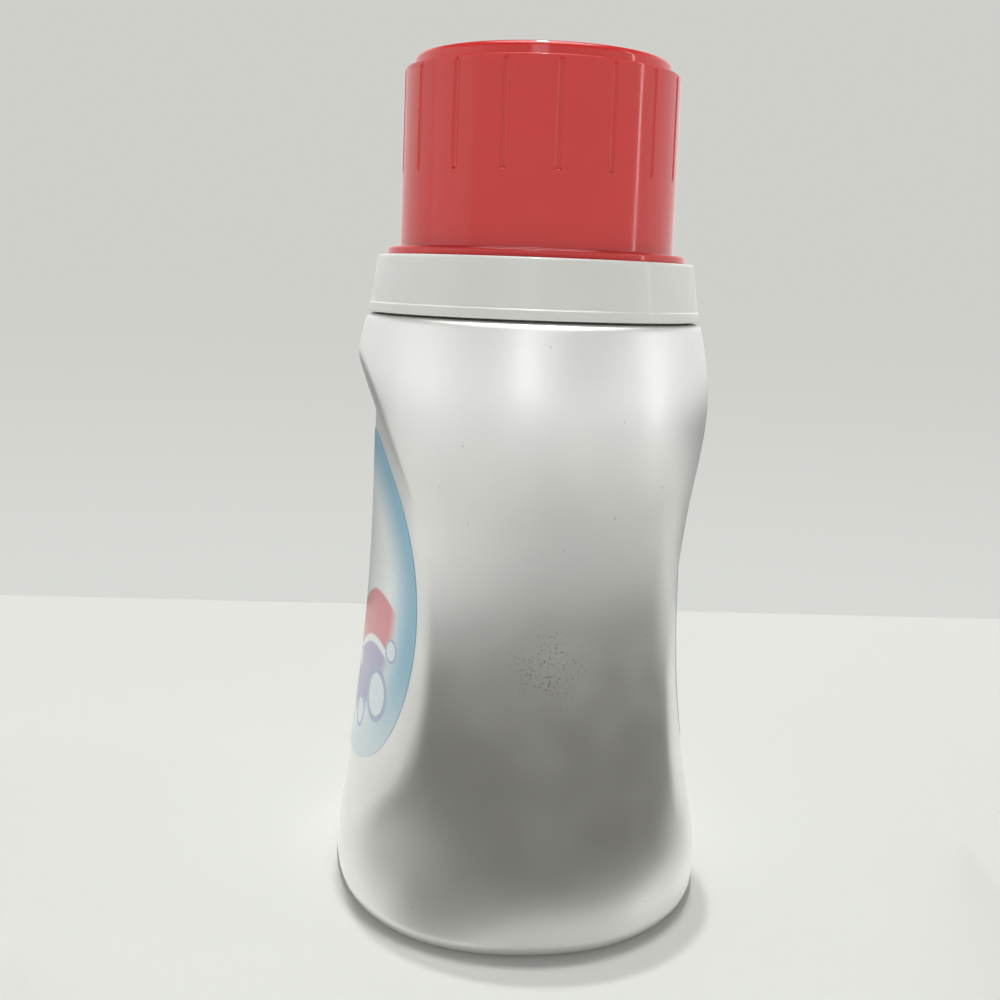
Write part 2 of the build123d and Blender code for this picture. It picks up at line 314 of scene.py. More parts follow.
def makeLabel(name, side):
    right = label["outlines"][side]
    left = [(-x, z) for x, z in reversed(right[1:-1])]
    edge = closedLine(right + left)
    middle = (0, label["middles"][side])
    points = []
    shares = [(glossShadeRing + 0.5) / (label["rings"] + 0.5) for glossShadeRing in range(label["rings"])] + [1.0]
    for row, share in enumerate(shares + [1.0]):
        lift = label["sunk"] if row == len(shares) else label["lift"]
        for column in range(label["columns"]):
            ex, ez = edge(column / label["columns"])
            x = middle[0] + (ex - middle[0]) * share
            z = middle[1] + (ez - middle[1]) * share
            points.append((x, side * panelSurface(side, x, z, lift), z))
    faces = ringFaces(len(shares) + 1, label["columns"])
    faces.append(tuple(reversed(range(label["columns"]))))
    if side == backSide:
        faces = [tuple(reversed(face)) for face in faces]
    film = meshObject(name, points, faces)
    sharpen(film, label["crease"])
    return film


frontFilm = makeLabel("frontLabelFilm", frontSide)
backFilm = makeLabel("backLabelFilm", backSide)
for film, node in ((frontFilm, "front_label"), (backFilm, "back_label")):
    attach(film, "bottle")
    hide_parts(node)
print("label films made")


# Pouring collar: skirt, deck, plug, sloping drain floor and slanted spout with its slot.

collar = {
    "bottom": 144.1, "top": 158.0, "topRadius": 39.3, "bottomRadius": 41.2,
    "skirtWall": 1.2, "rimStep": 0.3, "rimHeight": 2.5, "edge": 1.0,
    "bottomRound": 0.35, "stepRound": 0.15, "boreRound": 0.3,
    "neckTop": 155.8, "plugRadius": 36.3, "plugBore": 35.1, "plugDepth": 19.0,
    "floorThick": 1.3, "floorSlope": 4.0, "floorStart": 0.8, "floorFillet": 0.5, "floorInset": 0.2,
    "spoutRadius": 19.0, "spoutWall": 1.1, "spoutRise": 16.0, "spoutSlant": 20.0, "spoutFillet": 0.6,
    # the spout's lip: (beyond the radius of the wall's face, height from its top)
    "lipOutside": ((0, -0.4), (-0.2, -0.1)), "lipInside": ((0.3, 0), (0, -0.3)),
    "slot": 7.0, "slotSill": 0.2, "slotNudge": 0.003,
    "threadBottom": 149.0, "threadLead": 0.4,
    "threadDepth": 0.45, "threadPitch": 4.0, "threadTurns": 1.6, "threadWidth": 1.3,
    "columns": 300, "crease": 30,
}
floorSlope = math.tan(math.radians(collar["floorSlope"]))
floorLow = collar["top"] - collar["plugDepth"] + collar["plugBore"] * floorSlope
floorTop = floorLow + collar["floorThick"]
halfSlot = math.asin(collar["slot"] / 2 / collar["spoutRadius"])


def skirtRadius(z):
    share = (collar["top"] - z) / (collar["top"] - collar["bottom"])
    return collar["topRadius"] + share * (collar["bottomRadius"] - collar["topRadius"])


def collarPlace(entry, angle):
    # tagged points lie on the sloping drain floor or on the slanted lip, which the slot breaks
    r, z, tag = entry
    x = r * math.cos(angle)
    away = abs((angle + math.pi) % (2 * math.pi) - math.pi)
    if tag == "lip" and away > halfSlot:
        lipTop = collar["top"] + collar["spoutRise"]
        slant = math.tan(math.radians(collar["spoutSlant"]))
        return r, lipTop - (x + collar["spoutRadius"]) * slant + z - floorTop
    if tag:
        z -= x * floorSlope
    return r, z


def makeCollar():
    top, bottom = collar["top"], collar["bottom"]
    bore, plug, plugEnd = collar["plugBore"], collar["plugRadius"], top - collar["plugDepth"]
    rimTop = bottom + collar["rimHeight"]
    step, wall = collar["rimStep"], collar["skirtWall"]
    skirt = roundedLine([
        (collar["bottomRadius"] - wall, bottom, 0),
        (collar["bottomRadius"] + step, bottom, collar["bottomRound"]),
        (skirtRadius(rimTop - step) + step, rimTop - step, collar["stepRound"]),
        (skirtRadius(rimTop), rimTop, collar["stepRound"]),
        (collar["topRadius"], top, collar["edge"]),
        (bore, top, collar["boreRound"]),
        (bore, floorTop + collar["floorStart"], 0),
    ])
    outer, inner = collar["spoutRadius"], collar["spoutRadius"] - collar["spoutWall"]
    line = [(r, z, "") for r, z in skirt]
    line += [(bore, floorTop + collar["floorFillet"], "floor"),
             (bore - collar["floorFillet"], floorTop, "floor"),
             (outer + collar["spoutFillet"], floorTop, "floor"),
             (outer, floorTop + collar["spoutFillet"], "floor")]
    line += [(outer + out, floorTop + up, "lip") for out, up in collar["lipOutside"]]
    line += [(inner + out, floorTop + up, "lip") for out, up in collar["lipInside"]]
    line += [(inner, floorTop + collar["slotSill"], "floor"), (inner, floorLow, "floor"),
             (bore - collar["floorInset"], floorLow, "floor"),
             (bore, plugEnd, ""), (plug, plugEnd, ""), (plug, collar["neckTop"], ""),
             (skirtRadius(collar["neckTop"]) - wall, collar["neckTop"], "")]
    nudge = collar["slotNudge"]
    extra = [side * halfSlot + off for side in (-1, 1) for off in (-nudge, nudge)]
    angles = evenAngles(collar["columns"], extra)
    return turned("collarForm", line, angles, collarPlace, collar["crease"], closed=True)


ridge = {"stepsPerTurn": 120, "fade": 16, "sunk": 0.2, "crease": 40,
         # half of the section, going up: (share of the depth, share of the half width)
         "shoulder": (0.85, 0.55), "crown": (1, 0.3)}


def helixRidge(name, radius, outward, settings):
    # a low screw ridge, fading out at both ends
    turns, pitch = settings["threadTurns"], settings["threadPitch"]
    half = settings["threadWidth"] / 2
    steps = int(turns * ridge["stepsPerTurn"])
    points, faces = [], []
    for step in range(steps + 1):
        share = step / steps
        angle = settings["threadLead"] + 2 * math.pi * turns * share
        z = settings["threadBottom"] + pitch * turns * share
        fade = min(1, share * ridge["fade"], (1 - share) * ridge["fade"])
        rise = settings["threadDepth"] * fade * outward
        lower = [(-ridge["sunk"] * outward, -half)]
        lower += [(rise * depth, -half * width) for depth, width in (ridge["shoulder"], ridge["crown"])]
        for dr, dz in lower + [(dr, -dz) for dr, dz in reversed(lower)]:
            r = radius + dr
            points.append((r * math.cos(angle), r * math.sin(angle), z + dz))
    width = 2 * len(lower)
    for step in range(steps):
        for k in range(width):
            nextK = (k + 1) % width
            a, b = step * width, (step + 1) * width
            face = (a + k, a + nextK, b + nextK, b + k)
            faces.append(face if outward < 0 else tuple(reversed(face)))
    faces.append(tuple(range(width)))
    faces.append(tuple(reversed(range(steps * width, (steps + 1) * width))))
    thread = meshObject(name, points, faces)
    sharpen(thread, ridge["crease"])
    return thread


collarForm = makeCollar()
collarThread = helixRidge("collarThread", collar["plugBore"], -1, collar)
for thing in (collarForm, collarThread):
    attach(thing, "bottle")
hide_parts("pour_collar")
print("pouring collar made")


# Dosing cap: cup, flange and skirt as one turned form, with upright grooves and a screw ridge.

cap = {
    "bottom": 158.0, "skirtLength": 12.5, "skirtRadius": 33.9, "wall": 1.3,
    "flangeRadius": 37.1, "flangeThick": 1.9, "flangeRound": 0.8,
    "lowerRadius": 34.0, "lowerRound": 0.5, "upperRadius": 33.7, "wallHeight": 42.3,
    "footRadius": 31.3, "footHeight": 3.3, "footEdge": 2.2, "footDraft": 0.4,
    "dishRadius": 23.0, "dishDepth": 1.3, "small": 0.35, "inner": 1.0, "rimRound": 0.8,
    "axisHole": 0.05, "roundSteps": 6, "columns": 256, "crease": 30,
    "grooveCount": 17, "grooveRadius": 1.2, "grooveDepth": 0.4, "grooveStart": 1.5, "grooveEnd": 24.1,
    "grooveTurn": math.radians(-2.7), "grooveBeyond": 1.15, "onWall": 0.01,
    "threadBottom": 147.0, "threadLead": 2.4,
    "threadDepth": 0.45, "threadPitch": 4.0, "threadTurns": 1.9, "threadWidth": 1.3,
}
capRim = cap["bottom"] + cap["flangeThick"] + cap["wallHeight"]
grooveStep = 2 * math.pi / cap["grooveCount"]
standOff = cap["grooveRadius"] - cap["grooveDepth"]
grooveHalf = math.sqrt(cap["grooveRadius"] ** 2 - standOff ** 2)
# shares of a groove's half width where the mesh has lines, and one line just beyond it
grooveParts = [math.sin(math.radians(degrees)) for degrees in (0, 15, 30, 45, 60, 75, 90)]
widerParts = [*grooveParts, cap["grooveBeyond"]]


def capWallRadius(z):
    share = (capRim - z) / cap["wallHeight"]
    return cap["upperRadius"] + share * (cap["lowerRadius"] - cap["upperRadius"])


def groovedWall(entry, angle):
    # the cup's wall, drawn in where an upright groove with round ends runs
    r, z = entry
    wallRadius = capWallRadius(z)
    if r < wallRadius - cap["onWall"]:
        return r, z
    off = (angle - cap["grooveTurn"] + grooveStep / 2) % grooveStep - grooveStep / 2
    beyond = max(0, capRim - cap["grooveEnd"] - z, z - capRim + cap["grooveStart"])
    depth = cap["grooveRadius"] ** 2 - (wallRadius * math.sin(off)) ** 2 - beyond ** 2
    if depth <= 0:
        return r, z
    return min(r, wallRadius + standOff - math.sqrt(depth)), z


def makeCap():
    bottom, small, inner, wall = cap["bottom"], cap["small"], cap["inner"], cap["wall"]
    flangeTop = bottom + cap["flangeThick"]
    footTop = capRim + cap["footHeight"]
    dish = footTop - cap["dishDepth"]
    skirt, skirtEnd = cap["skirtRadius"], bottom - cap["skirtLength"]
    heights = [capRim - cap["grooveStart"] + grooveHalf * part for part in reversed(grooveParts)]
    heights += [capRim - cap["grooveEnd"] - grooveHalf * part for part in widerParts]
    # from the middle of the dish down the outside, then up the inside
    line = roundedLine([
        (cap["axisHole"], dish, 0), (cap["dishRadius"] - cap["dishDepth"], dish, inner),
        (cap["dishRadius"], footTop, inner), (cap["footRadius"], footTop, cap["footEdge"]),
        (cap["footRadius"] + cap["footDraft"], capRim, small),
        (cap["upperRadius"], capRim, cap["rimRound"]),
        *((capWallRadius(z), z, 0) for z in heights),
        (cap["lowerRadius"], flangeTop, cap["lowerRound"]),
        (cap["flangeRadius"], flangeTop, cap["flangeRound"]),
        (cap["flangeRadius"], bottom, small), (skirt, bottom, small),
        (skirt, skirtEnd, small), (skirt - wall, skirtEnd, small),
        (cap["upperRadius"] - wall, capRim - wall, inner),
        (cap["footRadius"] - wall, dish - wall, inner), (cap["axisHole"], dish - wall, 0),
    ], cap["roundSteps"])
    across = [side * part * grooveHalf / cap["upperRadius"] for part in widerParts for side in (-1, 1)]
    extra = [cap["grooveTurn"] + groove * grooveStep + off
             for groove in range(cap["grooveCount"]) for off in across]
    # the line is turned round so that the faces look outward
    return turned("capForm", line[::-1], evenAngles(cap["columns"], extra), groovedWall, cap["crease"])


capForm = makeCap()
capThread = helixRidge("capThread", cap["skirtRadius"], 1, cap)
for thing in (capForm, capThread):
    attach(thing, "cap")
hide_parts("dosing_cap")
print("dosing cap made")


# Materials. Helpers first: each material is a small node tree in object space, in metres.

def newMaterial(name):
    material = bpy.data.materials.new(name)
    material.use_nodes = True
    tree = material.node_tree
    shader = next(node for node in tree.nodes if node.type == "BSDF_PRINCIPLED")
    return material, tree, shader


def addNode(tree, kind, **settings):
    node = tree.nodes.new(kind)
    for key, value in settings.items():
        setattr(node, key, value)
    return node


def objectPlace(tree):
    return addNode(tree, "ShaderNodeTexCoord").outputs["Object"]


def noiseOf(tree, at, scale, detail, roughness=0.5):
    node = addNode(tree, "ShaderNodeTexNoise")
    tree.links.new(at, node.inputs["Vector"])
    node.inputs["Scale"].default_value = scale
    node.inputs["Detail"].default_value = detail
    node.inputs["Roughness"].default_value = roughness
    return node.outputs["Fac"]


def stretchOf(tree, value, low, high, toLow=0.0, toHigh=1.0):
    node = addNode(tree, "ShaderNodeMapRange", interpolation_type="SMOOTHSTEP")
    tree.links.new(value, node.inputs["Value"])
    node.inputs["From Min"].default_value = low
    node.inputs["From Max"].default_value = high
    node.inputs["To Min"].default_value = toLow
    node.inputs["To Max"].default_value = toHigh
    return node.outputs["Result"]


cloudRange = (0.3, 0.7)  # the middle of a noise, where nearly all of it lies


def cloudOf(tree, at, scale, detail, toLow=0.0, toHigh=1.0):
    # soft clouds between two values
    return stretchOf(tree, noiseOf(tree, at, scale, detail), *cloudRange, toLow, toHigh)


def mathOf(tree, operation, a, b=None):
    node = addNode(tree, "ShaderNodeMath", operation=operation)
    for socket, value in zip(node.inputs, (a, b)):
        if value is None:
            continue
        if isinstance(value, (int, float)):
            socket.default_value = value
        else:
            tree.links.new(value, socket)
    return node.outputs[0]


def distanceOf(tree, a, b):
    squares = (mathOf(tree, "POWER", value, 2) for value in (a, b))
    return mathOf(tree, "SQRT", mathOf(tree, "ADD", *squares))


def mixColour(tree, share, first, second, kind="MIX"):
    node = addNode(tree, "ShaderNodeMix", data_type="RGBA", blend_type=kind)
    for socket, value in ((node.inputs[0], share), (node.inputs[6], first), (node.inputs[7], second)):
        if isinstance(value, (tuple, list)):
            socket.default_value = (*value, 1)
        elif isinstance(value, (int, float)):
            socket.default_value = value
        else:
            tree.links.new(value, socket)
    return node.outputs[2]


def splitOf(tree, at):
    node = addNode(tree, "ShaderNodeSeparateXYZ")
    tree.links.new(at, node.inputs[0])
    return node.outputs


def bumpOf(tree, at, shader, layers):
    # layers are (noise scale, noise detail, strength, depth in metres), stacked
    normal = None
    for scale, detail, strength, depth in layers:
        node = addNode(tree, "ShaderNodeBump")
        node.inputs["Strength"].default_value = strength
        node.inputs["Distance"].default_value = depth
        tree.links.new(noiseOf(tree, at, scale, detail), node.inputs["Height"])
        if normal:
            tree.links.new(normal, node.inputs["Normal"])
        normal = node.outputs["Normal"]
    tree.links.new(normal, shader.inputs["Normal"])


def plasticOf(tree, at, shader, finish):
    # what all finishes share: clouded roughness, plain socket values and bumps
    for name, value in finish["sockets"].items():
        shader.inputs[name].default_value = value
    less, more = finish["roughnessSpread"]
    least, most = finish["roughness"] - less, finish["roughness"] + more
    rough = cloudOf(tree, at, finish["roughnessScale"], 3, least, most)
    tree.links.new(rough, shader.inputs["Roughness"])
    bumpOf(tree, at, shader, finish["bumps"])
    return rough


def cloudedColour(tree, at, finish):
    return mixColour(tree, cloudOf(tree, at, finish["cloudScale"], 4), finish["colour"], finish["shade"])


# Pearl plastic of the body, with a smudge of grey specks on its +X side and some dust.

pearl = {
    "colour": (0.82, 0.82, 0.80), "shade": (0.77, 0.775, 0.76), "cloudScale": 28,
    "roughness": 0.40, "roughnessSpread": (0.03, 0.04), "roughnessScale": 60,
    "sockets": {"Metallic": 0.86, "Coat Weight": 0.12, "Coat Roughness": 0.25},
    "bumps": ((35, 2, 0.3, 0.00003), (900, 2, 0.25, 0.00001)),
    # middle and size along Y and Z and range along X in metres, fade in shares of the size
    "smudgeMiddle": (-0.001, 0.0675), "smudgeSize": (0.0080, 0.0085), "smudgeFade": (0.35, 1.25),
    "smudgeSide": (0.02, 0.03), "raggedScale": 260, "ragged": 0.35,
    "smudgeColour": (0.20, 0.20, 0.19), "smudgeStrength": 0.62,
    "speckScale": 1500, "speckDetail": (2, 0.6), "speckRange": (0.53, 0.67),
    "dustScale": 700, "dustDetail": (1, 0.4), "dustRange": (0.80, 0.82), "dustStrength": 0.30,
    "dirtRoughness": 0.3,
}


def smudgeOf(tree, at):
    x, y, z = splitOf(tree, at)
    off = [mathOf(tree, "DIVIDE", mathOf(tree, "SUBTRACT", value, middle), size)
           for value, middle, size in zip((y, z), pearl["smudgeMiddle"], pearl["smudgeSize"])]
    uneven = cloudOf(tree, at, pearl["raggedScale"], 2, -pearl["ragged"], pearl["ragged"])
    away = mathOf(tree, "ADD", distanceOf(tree, *off), uneven)
    patch = mathOf(tree, "MULTIPLY", stretchOf(tree, away, *pearl["smudgeFade"], 1.0, 0.0),
                   stretchOf(tree, x, *pearl["smudgeSide"]))
    specks = noiseOf(tree, at, pearl["speckScale"], *pearl["speckDetail"])
    specks = stretchOf(tree, specks, *pearl["speckRange"])
    return mathOf(tree, "MULTIPLY", mathOf(tree, "MULTIPLY", patch, specks), pearl["smudgeStrength"])


def pearlMaterial():
    material, tree, shader = newMaterial("pearlWhitePlastic")
    at = objectPlace(tree)
    dust = noiseOf(tree, at, pearl["dustScale"], *pearl["dustDetail"])
    dust = stretchOf(tree, dust, *pearl["dustRange"], 0.0, pearl["dustStrength"])
    dirt = mathOf(tree, "MAXIMUM", smudgeOf(tree, at), dust)
    colour = mixColour(tree, dirt, cloudedColour(tree, at, pearl), pearl["smudgeColour"])
    tree.links.new(colour, shader.inputs["Base Color"])
    rough = plasticOf(tree, at, shader, pearl)
    rough = mathOf(tree, "ADD", rough, mathOf(tree, "MULTIPLY", dirt, pearl["dirtRoughness"]))
    tree.links.new(rough, shader.inputs["Roughness"])
    return material


# Moulded plastics of collar and cap.

collarFinish = {
    "name": "offWhiteCollarPlastic",
    "colour": (0.675, 0.68, 0.655), "shade": (0.65, 0.655, 0.63), "cloudScale": 55,
    "roughness": 0.42, "roughnessSpread": (0.05, 0.06), "roughnessScale": 140,
    "sockets": {"Coat Weight": 0.25, "Coat Roughness": 0.10, "Subsurface Weight": 0.08,
                "Subsurface Radius": (1.0, 0.95, 0.9), "Subsurface Scale": 0.0015},
    "bumps": ((90, 2, 0.3, 0.00006), (1400, 2, 0.25, 0.000008)),
}
capFinish = {
    "name": "coralRedCapPlastic",
    "colour": (0.62, 0.035, 0.032), "shade": (0.60, 0.031, 0.029), "cloudScale": 45,
    "roughness": 0.09, "roughnessSpread": (0.02, 0.03), "roughnessScale": 120,
    "sockets": {"Subsurface Weight": 0.15, "Subsurface Radius": (1.0, 0.35, 0.3),
                "Subsurface Scale": 0.002},
    "bumps": ((70, 2, 0.3, 0.00006), (1300, 2, 0.2, 0.000008)),
}


def mouldedMaterial(finish):
    material, tree, shader = newMaterial(finish["name"])
    at = objectPlace(tree)
    tree.links.new(cloudedColour(tree, at, finish), shader.inputs["Base Color"])
    plasticOf(tree, at, shader, finish)
    return material


# Label prints: plain fields of colour. Places and sizes on them are in metres.

labelPrint = {
    "pale": (0.74, 0.78, 0.77), "blue": (0.24, 0.44, 0.56), "deepBlue": (0.10, 0.16, 0.36),
    "coral": (0.64, 0.22, 0.24), "violet": (0.30, 0.26, 0.46), "bubble": (0.66, 0.72, 0.76),
    "grainScale": 2200, "grainDetail": (2, 0.7), "grain": (0.94, 1.06),
    "roughness": 0.36, "roughnessSpread": (0.04, 0.05), "roughnessScale": 100,
    "sockets": {"Coat Weight": 0.3, "Coat Roughness": 0.18},
    "bumps": ((60, 2, 0.3, 0.00005),),
}
# a blue edge that pales at the bottom, a pale middle, a wavy band above water, and bubbles
frontPrint = {
    "middle": 0.073, "halfWidth": 0.037, "halfHeight": 0.0415,
    "edge": (0.62, 0.96), "edgePales": (0.036, 0.066), "edgeLeast": 0.35,
    "waveHeight": 0.071, "waveRise": 0.006, "waveRate": 95, "soft": 0.0005,
    "bandBottom": (-0.012, -0.0112), "waterTop": -0.0135, "waterFade": (0.036, 0.060),
    "waterStrength": 0.85, "inside": (0.66, 0.80),
    "bubbles": (((0.021, 0.052), 0.0068), ((0.009, 0.044), 0.0042), ((0.027, 0.0645), 0.003),
                ((-0.014, 0.050), 0.0075), ((-0.024, 0.061), 0.0040), ((0.0, 0.0555), 0.0030),
                ((-0.003, 0.0405), 0.0024)),
    "bubbleSoft": 0.0004, "rim": (0.74, 0.80), "rimStrength": 0.6,
}
# rows of print are (height, half width, colour)
backPrint = {
    "middle": 0.064, "halfWidth": 0.027, "halfHeight": 0.030, "edge": (0.80, 0.99),
    "ground": (0.70, 0.72, 0.74), "edgeColour": (0.52, 0.57, 0.64),
    "rows": ((0.081, 0.017, "blue"), (0.072, 0.017, "blue"), (0.063, 0.017, "coral"),
             (0.054, 0.017, "blue"), (0.045, 0.012, "blue")),
    "rowHeight": 0.0045, "soft": 0.0003, "sideSoft": 0.0004, "strength": 0.45,
}


def outwardOf(tree, x, z, design):
    # how far out on the label, 0 in the middle and 1 at the edge
    above = mathOf(tree, "SUBTRACT", z, design["middle"])
    return distanceOf(tree, mathOf(tree, "DIVIDE", x, design["halfWidth"]),
                      mathOf(tree, "DIVIDE", above, design["halfHeight"]))


def addBubble(tree, x, z, colour, centre, radius):
    # a pale disc with a darker rim
    soft = frontPrint["bubbleSoft"]
    away = distanceOf(tree, mathOf(tree, "SUBTRACT", x, centre[0]), mathOf(tree, "SUBTRACT", z, centre[1]))
    disc = stretchOf(tree, away, radius - soft, radius + soft, 1.0, 0.0)
    colour = mixColour(tree, disc, colour, labelPrint["bubble"])
    rimFrom, rimTo = frontPrint["rim"]
    rim = mathOf(tree, "MULTIPLY", disc, stretchOf(tree, away, radius * rimFrom, radius * rimTo))
    rim = mathOf(tree, "MULTIPLY", rim, frontPrint["rimStrength"])
    return mixColour(tree, rim, colour, labelPrint["deepBlue"])


def frontLabelMaterial():
    material, tree, shader = newMaterial("frontLabelPrint")
    at = objectPlace(tree)
    x, _, z = splitOf(tree, at)
    away = outwardOf(tree, x, z, frontPrint)
    edge = mathOf(tree, "MULTIPLY", stretchOf(tree, away, *frontPrint["edge"]),
                  stretchOf(tree, z, *frontPrint["edgePales"], frontPrint["edgeLeast"], 1.0))
    colour = mixColour(tree, edge, labelPrint["pale"], labelPrint["blue"])
    soft = frontPrint["soft"]
    wave = mathOf(tree, "SINE", mathOf(tree, "MULTIPLY", x, frontPrint["waveRate"]))
    wave = mathOf(tree, "MULTIPLY", wave, frontPrint["waveRise"])
    high = mathOf(tree, "SUBTRACT", mathOf(tree, "SUBTRACT", z, frontPrint["waveHeight"]), wave)
    band = mathOf(tree, "MULTIPLY", stretchOf(tree, high, -soft, soft, 1.0, 0.0),
                  stretchOf(tree, high, *frontPrint["bandBottom"]))
    inside = stretchOf(tree, away, *frontPrint["inside"], 1.0, 0.0)
    colour = mixColour(tree, mathOf(tree, "MULTIPLY", band, inside), colour, labelPrint["coral"])
    low = stretchOf(tree, mathOf(tree, "SUBTRACT", high, frontPrint["waterTop"]), -soft, soft, 1.0, 0.0)
    low = mathOf(tree, "MULTIPLY", mathOf(tree, "MULTIPLY", low, inside), frontPrint["waterStrength"])
    depth = stretchOf(tree, z, *frontPrint["waterFade"])
    water = mixColour(tree, depth, labelPrint["deepBlue"], labelPrint["violet"])
    colour = mixColour(tree, low, colour, water)
    for centre, radius in frontPrint["bubbles"]:
        colour = addBubble(tree, x, z, colour, centre, radius)
    finishLabel(tree, shader, at, colour)
    return material


def backLabelMaterial():
    material, tree, shader = newMaterial("backLabelPrint")
    at = objectPlace(tree)
    x, _, z = splitOf(tree, at)
    edge = stretchOf(tree, outwardOf(tree, x, z, backPrint), *backPrint["edge"])
    colour = mixColour(tree, edge, backPrint["ground"], backPrint["edgeColour"])
    side = mathOf(tree, "ABSOLUTE", x)
    for bottom, half, tone in backPrint["rows"]:
        top = bottom + backPrint["rowHeight"]
        inRow = mathOf(tree, "MULTIPLY", stretchOf(tree, z, bottom, bottom + backPrint["soft"]),
                       stretchOf(tree, z, top, top + backPrint["soft"], 1.0, 0.0))
        inWidth = stretchOf(tree, side, half, half + backPrint["sideSoft"], 1.0, 0.0)
        field = mathOf(tree, "MULTIPLY", inRow, inWidth)
        field = mathOf(tree, "MULTIPLY", field, backPrint["strength"])
        colour = mixColour(tree, field, colour, labelPrint[tone])
    finishLabel(tree, shader, at, colour)
    return material


def finishLabel(tree, shader, at, colour):
    # a faint screen grain of the print, and a satin film over it
    noise = noiseOf(tree, at, labelPrint["grainScale"], *labelPrint["grainDetail"])
    node = addNode(tree, "ShaderNodeVectorMath", operation="SCALE")
    tree.links.new(colour, node.inputs[0])
    tree.links.new(stretchOf(tree, noise, *cloudRange, *labelPrint["grain"]), node.inputs["Scale"])
    tree.links.new(node.outputs[0], shader.inputs["Base Color"])
    plasticOf(tree, at, shader, labelPrint)


def dress(material, *things):
    for thing in things:
        thing.data.materials.clear()
        thing.data.materials.append(material)


dress(pearlMaterial(), bottleSkin)
dress(mouldedMaterial(collarFinish), collarForm, collarThread)
dress(mouldedMaterial(capFinish), capForm, capThread)
dress(frontLabelMaterial(), frontFilm)
dress(backLabelMaterial(), backFilm)
print("materials made")


# Floor: a pale table whose far edge meets the pale background behind the bottle.

viewTurn = math.radians(-10)  # azimuth of the camera, seen from the bottle
table = {
    # place and reach of the far edge, and the width of a painted shade along it, in millimetres, and its
    # slope from side to side
    "farEdge": -269, "farSlope": -0.07, "reach": 1600, "farEdgeShadeWidth": 4, "farEdgeShadeLevel": 0.86,
    "colour": (0.76, 0.77, 0.735), "shownColour": (0.600, 0.609, 0.577), "roughness": 0.55,
    "cloudScale": 3, "cloud": (0.98, 1.0), "bumps": ((700, 3, 0.2, 0.00002),),
    # a painted shade on the camera's side: a ring of darker table colour, in metres from the bottle, that
    # only glossy rays see, so the bottle's lower body shows a shaded reflection
    "glossShadeColour": (0.040, 0.035, 0.022), "glossShadeStart": (0.062, 0.094), "glossShadeEnd": (0.18, 0.52),
    "glossShadeSide": (-0.25, 0.25),
}


def turnedPlace(x, y):
    # from "toward the camera" and "to its right" to the scene's X and Y
    cos, sin = math.cos(viewTurn), math.sin(viewTurn)
    return (x * cos - y * sin, x * sin + y * cos)


def towardOf(tree, at):
    # the place or direction split into toward the camera, to its right and up
    node = addNode(tree, "ShaderNodeVectorRotate", rotation_type="Z_AXIS")
    node.inputs["Angle"].default_value = -viewTurn
    tree.links.new(at, node.inputs["Vector"])
    return splitOf(tree, node.outputs[0])


def makeTable():
    reach, far, slope = table["reach"], table["farEdge"], table["farSlope"]
    slant = slope * reach
    corners = [(far - slant, -reach), (reach, -reach), (reach, reach), (far + slant, reach)]
    corners = [(*turnedPlace(x, y), 0) for x, y in corners]
    top = meshObject("tableTop", corners, [(0, 1, 2, 3)], smooth=False)
    material, tree, shader = newMaterial("paleTable")
    at = objectPlace(tree)
    toward, side, _ = towardOf(tree, at)
    level = mathOf(tree, "SUBTRACT", toward, mathOf(tree, "MULTIPLY", side, slope))
    # painted shade: the table darkens in a narrow band along its far edge, where it meets the background
    farEdgeShadeEnd = (far + table["farEdgeShadeWidth"]) * mm
    farEdgeShade = stretchOf(tree, level, far * mm, farEdgeShadeEnd, table["farEdgeShadeLevel"], 1.0)
    tone = mathOf(tree, "MULTIPLY", farEdgeShade, cloudOf(tree, at, table["cloudScale"], 3, *table["cloud"]))
    shown = mixColour(tree, 1.0, table["shownColour"], tone, "MULTIPLY")
    # painted shade: glossy rays see the table darker in a ring on the camera's side, and the bottle
    # reflects it as shade
    away = distanceOf(tree, toward, side)
    glossShadeRing = mathOf(tree, "MULTIPLY", stretchOf(tree, away, *table["glossShadeStart"]),
                  stretchOf(tree, away, *table["glossShadeEnd"], 1.0, 0.0))
    ahead = stretchOf(tree, mathOf(tree, "DIVIDE", toward, away), *table["glossShadeSide"])
    path = addNode(tree, "ShaderNodeLightPath").outputs
    glossShadeMask = mathOf(tree, "MULTIPLY", mathOf(tree, "MULTIPLY", glossShadeRing, ahead), path["Is Glossy Ray"])
    unseenWithGlossShade = mixColour(tree, glossShadeMask, table["colour"], table["glossShadeColour"])
    tree.links.new(mixColour(tree, path["Is Camera Ray"], unseenWithGlossShade, shown), shader.inputs["Base Color"])
    shader.inputs["Roughness"].default_value = table["roughness"]
    bumpOf(tree, at, shader, table["bumps"])
    dress(material, top)


makeTable()


# Flag: a bent black card round the camera's side that only glossy rays see, a painted shade that the
# bottle's lower body reflects.

# the card's colour is the painted shade seen in the bottle's gloss
flag = {"radius": 128, "height": 71, "leftTurn": -60, "rightTurn": 98, "columns": 36,
        "colour": (0.030, 0.024, 0.010), "roughness": 0.9}


def makeFlag():
    points, faces = [], []
    for column in range(flag["columns"] + 1):
        share = column / flag["columns"]
        turn = math.radians(flag["leftTurn"] + share * (flag["rightTurn"] - flag["leftTurn"]))
        x, y = turnedPlace(flag["radius"] * math.cos(turn), flag["radius"] * math.sin(turn))
        points += [(x, y, 0), (x, y, flag["height"])]
    for column in range(flag["columns"]):
        first = 2 * column
        faces.append((first, first + 2, first + 3, first + 1))
    card = meshObject("shadeReflectionCard", points, faces, smooth=False)
    material, _, shader = newMaterial("paintedShadeReflection")
    shader.inputs["Base Color"].default_value = (*flag["colour"], 1)
    shader.inputs["Roughness"].default_value = flag["roughness"]
    dress(material, card)
    card.visible_camera = False
    card.visible_diffuse = False
    card.visible_shadow = False
    card.visible_transmission = False


makeFlag()


